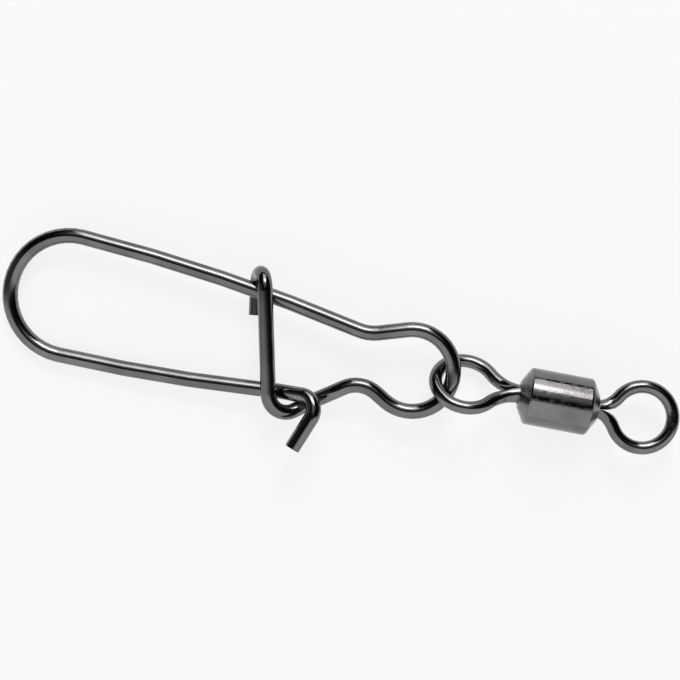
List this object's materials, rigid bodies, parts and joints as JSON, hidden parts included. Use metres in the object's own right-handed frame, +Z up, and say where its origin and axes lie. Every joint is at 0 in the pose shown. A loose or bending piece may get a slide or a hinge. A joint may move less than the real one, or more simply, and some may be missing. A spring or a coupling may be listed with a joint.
{
  "type": "fishing snap swivel",
  "caption": "Fishing snap swivel: a one-wire snap with a hooked crossbar latch, linked to a rolling swivel with a turning eye at each end.",
  "frame": {"origin": "middle of the line eye, on the swivel's axis", "axes": "+X along the swivel's axis from the snap to the line eye, +Z up from the table on which the part lies"},
  "size_m": [0.0594, 0.0153, 0.005],
  "materials": {
    "snap_wire_steel": "bright black nickel over drawn spring steel wire",
    "eye_steel": "bright black nickel over drawn stainless wire",
    "barrel_metal": "black nickel over turned and swaged brass, faintly streaked"
  },
  "bodies": {
    "snap": {"snap_wire": "snap_wire_steel"},
    "snap_ring": {"snap_eye": "eye_steel"},
    "barrel": {"barrel": "barrel_metal"},
    "line_ring": {"line_eye": "eye_steel"}
  },
  "joints": [
    {"name": "snap_swing", "type": "hinge", "parent": "snap", "child": "snap_ring", "pos_m": [-0.01656, 0, 0], "axis": [0, 0.9397, 0.342], "range_deg": [-150, 150]},
    {"name": "snap_eye_spin", "type": "hinge", "parent": "snap_ring", "child": "barrel", "pos_m": [-0.00733, 0, 0], "axis": [1, 0, 0], "continuous": true},
    {"name": "line_eye_spin", "type": "hinge", "parent": "barrel", "child": "line_ring", "pos_m": [-0.00733, 0, 0], "axis": [1, 0, 0], "continuous": true}
  ]
}
